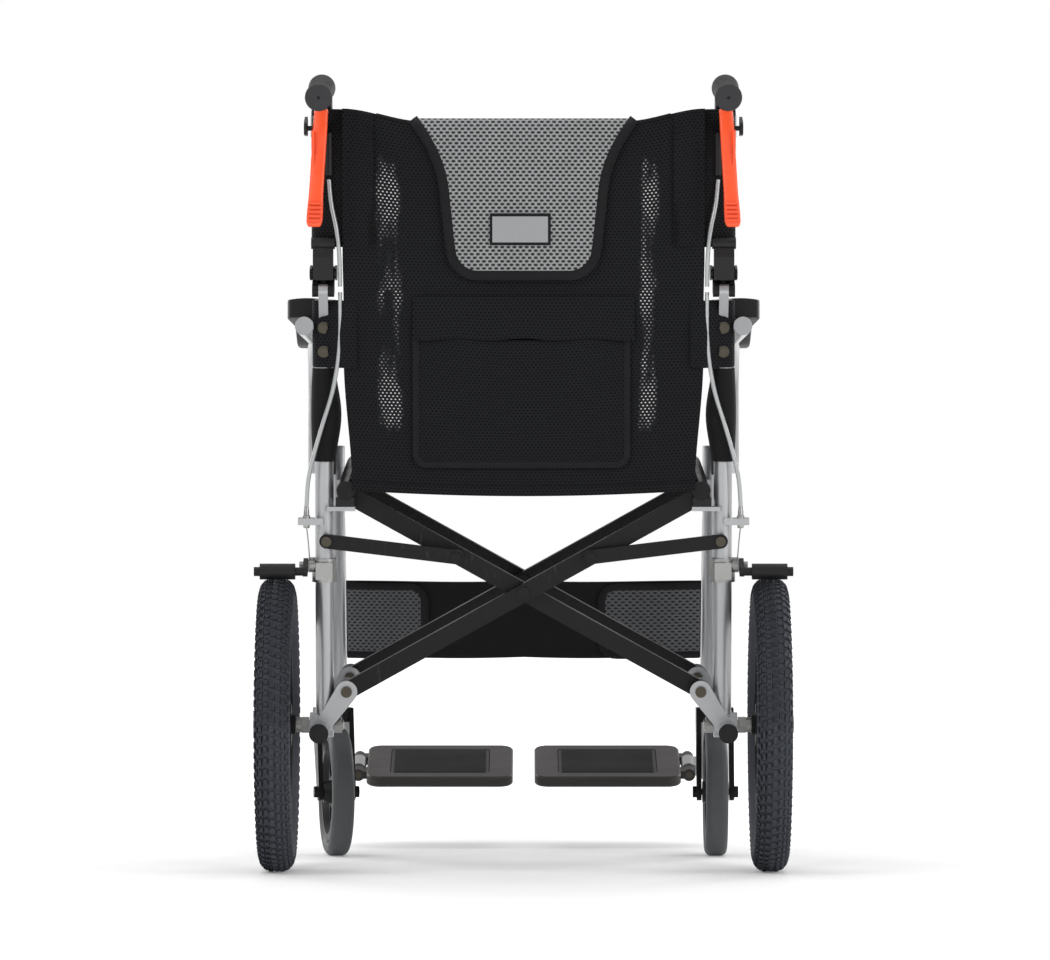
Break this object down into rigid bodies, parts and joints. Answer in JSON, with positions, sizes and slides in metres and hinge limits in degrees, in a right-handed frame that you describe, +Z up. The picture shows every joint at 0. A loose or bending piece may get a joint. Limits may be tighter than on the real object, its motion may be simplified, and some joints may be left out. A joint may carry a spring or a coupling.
{
  "type": "folding transit wheelchair",
  "caption": "Folding attendant-pushed wheelchair with scissor brace, half-folding back, small rear wheels, casters, flip-up footplates and orange brake levers.",
  "frame": {"origin": "on the floor, under the middle of the chair's overall box", "axes": "+X to the chair's right, +Y forward, +Z up"},
  "size_m": [0.645, 0.9446, 0.9435],
  "materials": {
    "frame_silver": "satin silver powder coat",
    "black_metal": "satin black powder coat",
    "black_plastic": "moulded, fine texture",
    "grip_rubber": "ribbed grip",
    "tyre_rubber": "dark grey blue tread",
    "caster_rubber": "smooth grey polyurethane",
    "steel": "zinc plated",
    "orange_plastic": "bright orange moulding",
    "sling_fabric": "black spacer mesh",
    "guard_fabric": "black padded cloth",
    "cable_grey": "clear sleeved cable",
    "pad_foam": "soft moulded pad",
    "foot_plastic": "dark moulding"
  },
  "bodies": {
    "left_frame": {"side_frame_left": "frame_silver", "armrest_pad_left": "pad_foam", "side_guard_left": "guard_fabric", "rear_axle_left": "steel", "saddles_and_plug_left": "black_plastic", "frame_bolts_left": "steel", "brake_clamp_left": "steel", "cable_below_hinge_left": "cable_grey"},
    "wheel_left": {"rear_tyre_left": "tyre_rubber", "rear_rim_left": "black_metal", "rear_hub_left": "black_metal"},
    "caster_left": {"caster_fork_left": "black_metal"},
    "caster_wheel_left": {"caster_tyre_left": "caster_rubber", "caster_hub_left": "black_plastic"},
    "footplate_left": {"footplate_left": "foot_plastic", "footplate_pad_left": "pad_foam"},
    "brace_a": {"brace_arms_left": "black_metal", "seat_rail_right": "black_metal"},
    "link_left": {"brace_link_left": "black_metal"},
    "back_left": {"back_cane_left": "black_metal", "grip_left": "grip_rubber", "lever_housing_left": "black_plastic", "cable_above_hinge_left": "cable_grey"},
    "latch_left": {"latch_left": "black_plastic"},
    "brake_lever_left": {"brake_lever_left": "orange_plastic"},
    "brake_arm_left": {"brake_arm_left": "black_metal"},
    "back_sling_lower_left": {"back_sling_lower_left": "sling_fabric"},
    "back_sling_upper_left": {"back_sling_upper_left": "sling_fabric"},
    "seat_sling_left": {"seat_sling_left": "sling_fabric"},
    "calf_strap_left": {"calf_strap_left": "sling_fabric"},
    "right_frame": {"side_frame_right": "frame_silver", "armrest_pad_right": "pad_foam", "side_guard_right": "guard_fabric", "rear_axle_right": "steel", "saddles_and_plug_right": "black_plastic", "frame_bolts_right": "steel", "brake_clamp_right": "steel", "cable_below_hinge_right": "cable_grey"},
    "wheel_right": {"rear_tyre_right": "tyre_rubber", "rear_rim_right": "black_metal", "rear_hub_right": "black_metal"},
    "caster_right": {"caster_fork_right": "black_metal"},
    "caster_wheel_right": {"caster_tyre_right": "caster_rubber", "caster_hub_right": "black_plastic"},
    "footplate_right": {"footplate_right": "foot_plastic", "footplate_pad_right": "pad_foam"},
    "brace_b": {"brace_arms_right": "black_metal", "seat_rail_left": "black_metal"},
    "link_right": {"brace_link_right": "black_metal"},
    "back_right": {"back_cane_right": "black_metal", "grip_right": "grip_rubber", "lever_housing_right": "black_plastic", "cable_above_hinge_right": "cable_grey"},
    "latch_right": {"latch_right": "black_plastic"},
    "brake_lever_right": {"brake_lever_right": "orange_plastic"},
    "brake_arm_right": {"brake_arm_right": "black_metal"},
    "back_sling_lower_right": {"back_sling_lower_right": "sling_fabric"},
    "back_sling_upper_right": {"back_sling_upper_right": "sling_fabric"},
    "seat_sling_right": {"seat_sling_right": "sling_fabric"},
    "calf_strap_right": {"calf_strap_right": "sling_fabric"}
  },
  "joints": [
    {"name": "frame_fold", "type": "hinge", "parent": "left_frame", "child": "brace_a", "pos_m": [-0.211, -0.23895, 0.21601], "axis": [0, -0.9954, -0.0958], "range_deg": [0, 46]},
    {"name": "brace_cross", "type": "hinge", "parent": "brace_a", "child": "brace_b", "pos_m": [0, -0.25021, 0.33291], "axis": [0, 0.9954, 0.0958], "range_deg": [0, 92]},
    {"name": "right_frame_pivot", "type": "hinge", "parent": "brace_b", "child": "right_frame", "pos_m": [0.211, -0.23895, 0.21601], "axis": [0, -0.9954, -0.0958], "range_deg": [0, 46]},
    {"name": "link_left", "type": "hinge", "parent": "left_frame", "child": "link_left", "pos_m": [-0.234, -0.27768, 0.39392], "axis": [0, -0.9954, -0.0958], "range_deg": [0, 73.14]},
    {"name": "back_sling_lower_left", "type": "hinge", "parent": "left_frame", "child": "back_sling_lower_left", "pos_m": [-0.208, -0.29723, 0.57086], "axis": [0, 0.0958, -0.9954], "range_deg": [0, 73.6]},
    {"name": "back_sling_upper_left", "type": "hinge", "parent": "back_left", "child": "back_sling_upper_left", "pos_m": [-0.208, -0.31831, 0.78985], "axis": [0, 0.0958, -0.9954], "range_deg": [0, 73.6], "deforming": ["back_sling_upper_left"]},
    {"name": "seat_sling_left", "type": "hinge", "parent": "brace_b", "child": "seat_sling_left", "pos_m": [-0.211, -0.08286, 0.47304], "axis": [0, -0.9954, -0.0958], "range_deg": [0, 118.91]},
    {"name": "calf_strap_left", "type": "hinge", "parent": "left_frame", "child": "calf_strap_left", "pos_m": [-0.214, 0.24077, 0.29598], "axis": [0, 0.4023, -0.9155], "range_deg": [0, 71.3]},
    {"name": "footplate_left", "type": "hinge", "parent": "left_frame", "child": "footplate_left", "pos_m": [-0.214, 0.3932, 0.103], "axis": [0, -0.9744, -0.225], "range_deg": [0, 92]},
    {"name": "link_right", "type": "hinge", "parent": "right_frame", "child": "link_right", "pos_m": [0.234, -0.27768, 0.39392], "axis": [0, 0.9954, 0.0958], "range_deg": [0, 73.14]},
    {"name": "back_sling_lower_right", "type": "hinge", "parent": "right_frame", "child": "back_sling_lower_right", "pos_m": [0.208, -0.29723, 0.57086], "axis": [0, -0.0958, 0.9954], "range_deg": [0, 73.6]},
    {"name": "back_sling_upper_right", "type": "hinge", "parent": "back_right", "child": "back_sling_upper_right", "pos_m": [0.208, -0.31831, 0.78985], "axis": [0, -0.0958, 0.9954], "range_deg": [0, 73.6], "deforming": ["back_sling_upper_right"]},
    {"name": "seat_sling_right", "type": "hinge", "parent": "brace_a", "child": "seat_sling_right", "pos_m": [0.211, -0.08286, 0.47304], "axis": [0, 0.9954, 0.0958], "range_deg": [0, 118.91]},
    {"name": "calf_strap_right", "type": "hinge", "parent": "right_frame", "child": "calf_strap_right", "pos_m": [0.214, 0.24077, 0.29598], "axis": [0, -0.4023, 0.9155], "range_deg": [0, 71.3]},
    {"name": "footplate_right", "type": "hinge", "parent": "right_frame", "child": "footplate_right", "pos_m": [0.214, 0.3932, 0.103], "axis": [0, 0.9744, 0.225], "range_deg": [0, 92]},
    {"name": "back_fold", "type": "hinge", "parent": "left_frame", "child": "back_left", "pos_m": [-0.237, -0.30873, 0.69031], "axis": [1, 0, 0], "range_deg": [0, 100]},
    {"name": "back_fold_right", "type": "hinge", "parent": "right_frame", "child": "back_right", "pos_m": [0.237, -0.30873, 0.69031], "axis": [1, 0, 0], "range_deg": [0, 100]},
    {"name": "wheel_spin_left", "type": "hinge", "parent": "left_frame", "child": "wheel_left", "pos_m": [-0.294, -0.235, 0.175], "axis": [1, 0, 0], "continuous": true},
    {"name": "caster_swivel_left", "type": "hinge", "parent": "left_frame", "child": "caster_left", "pos_m": [-0.241, 0.17, 0.15], "axis": [0, 0, 1], "continuous": true},
    {"name": "caster_spin_left", "type": "hinge", "parent": "caster_left", "child": "caster_wheel_left", "pos_m": [-0.23537, 0.13444, 0.08], "axis": [0.9877, 0.1564, 0], "continuous": true},
    {"name": "brake_lever_left", "type": "hinge", "parent": "back_left", "child": "brake_lever_left", "pos_m": [-0.246, -0.34107, 0.88008], "axis": [-1, 0, 0], "range_deg": [0, 24], "stiffness_Nm_per_rad": 0.8},
    {"name": "brake_arm_left", "type": "hinge", "parent": "left_frame", "child": "brake_arm_left", "pos_m": [-0.26, -0.255, 0.366], "axis": [1, 0, 0], "range_deg": [0, 8]},
    {"name": "latch_left", "type": "hinge", "parent": "back_left", "child": "latch_left", "pos_m": [-0.237, -0.30866, 0.7104], "axis": [1, 0, 0], "range_deg": [0, 22], "stiffness_Nm_per_rad": 0.3},
    {"name": "wheel_spin_right", "type": "hinge", "parent": "right_frame", "child": "wheel_right", "pos_m": [0.294, -0.235, 0.175], "axis": [1, 0, 0], "continuous": true},
    {"name": "caster_swivel_right", "type": "hinge", "parent": "right_frame", "child": "caster_right", "pos_m": [0.241, 0.17, 0.15], "axis": [0, 0, 1], "continuous": true},
    {"name": "caster_spin_right", "type": "hinge", "parent": "caster_right", "child": "caster_wheel_right", "pos_m": [0.241, 0.134, 0.08], "axis": [1, 0, 0], "continuous": true},
    {"name": "brake_lever_right", "type": "hinge", "parent": "back_right", "child": "brake_lever_right", "pos_m": [0.246, -0.34107, 0.88008], "axis": [-1, 0, 0], "range_deg": [0, 24], "stiffness_Nm_per_rad": 0.8},
    {"name": "brake_arm_right", "type": "hinge", "parent": "right_frame", "child": "brake_arm_right", "pos_m": [0.26, -0.255, 0.366], "axis": [1, 0, 0], "range_deg": [0, 8]},
    {"name": "latch_right", "type": "hinge", "parent": "back_right", "child": "latch_right", "pos_m": [0.237, -0.30866, 0.7104], "axis": [1, 0, 0], "range_deg": [0, 22], "stiffness_Nm_per_rad": 0.3}
  ],
  "couplings": [
    {"joint": "brace_cross", "follows": "frame_fold", "ratio": 2},
    {"joint": "right_frame_pivot", "follows": "frame_fold", "ratio": 1},
    {"joint": "link_left", "follows": "frame_fold", "ratio": 1.59},
    {"joint": "back_sling_lower_left", "follows": "frame_fold", "ratio": 1.6},
    {"joint": "back_sling_upper_left", "follows": "frame_fold", "ratio": 1.6},
    {"joint": "seat_sling_left", "follows": "frame_fold", "ratio": 2.585},
    {"joint": "calf_strap_left", "follows": "frame_fold", "ratio": 1.55},
    {"joint": "footplate_left", "follows": "frame_fold", "ratio": 2},
    {"joint": "link_right", "follows": "frame_fold", "ratio": 1.59},
    {"joint": "back_sling_lower_right", "follows": "frame_fold", "ratio": 1.6},
    {"joint": "back_sling_upper_right", "follows": "frame_fold", "ratio": 1.6},
    {"joint": "seat_sling_right", "follows": "frame_fold", "ratio": 2.585},
    {"joint": "calf_strap_right", "follows": "frame_fold", "ratio": 1.55},
    {"joint": "footplate_right", "follows": "frame_fold", "ratio": 2},
    {"joint": "back_fold_right", "follows": "back_fold", "ratio": 1},
    {"joint": "brake_arm_left", "follows": "brake_lever_left", "ratio": 0.33333},
    {"joint": "brake_arm_right", "follows": "brake_lever_right", "ratio": 0.33333}
  ]
}
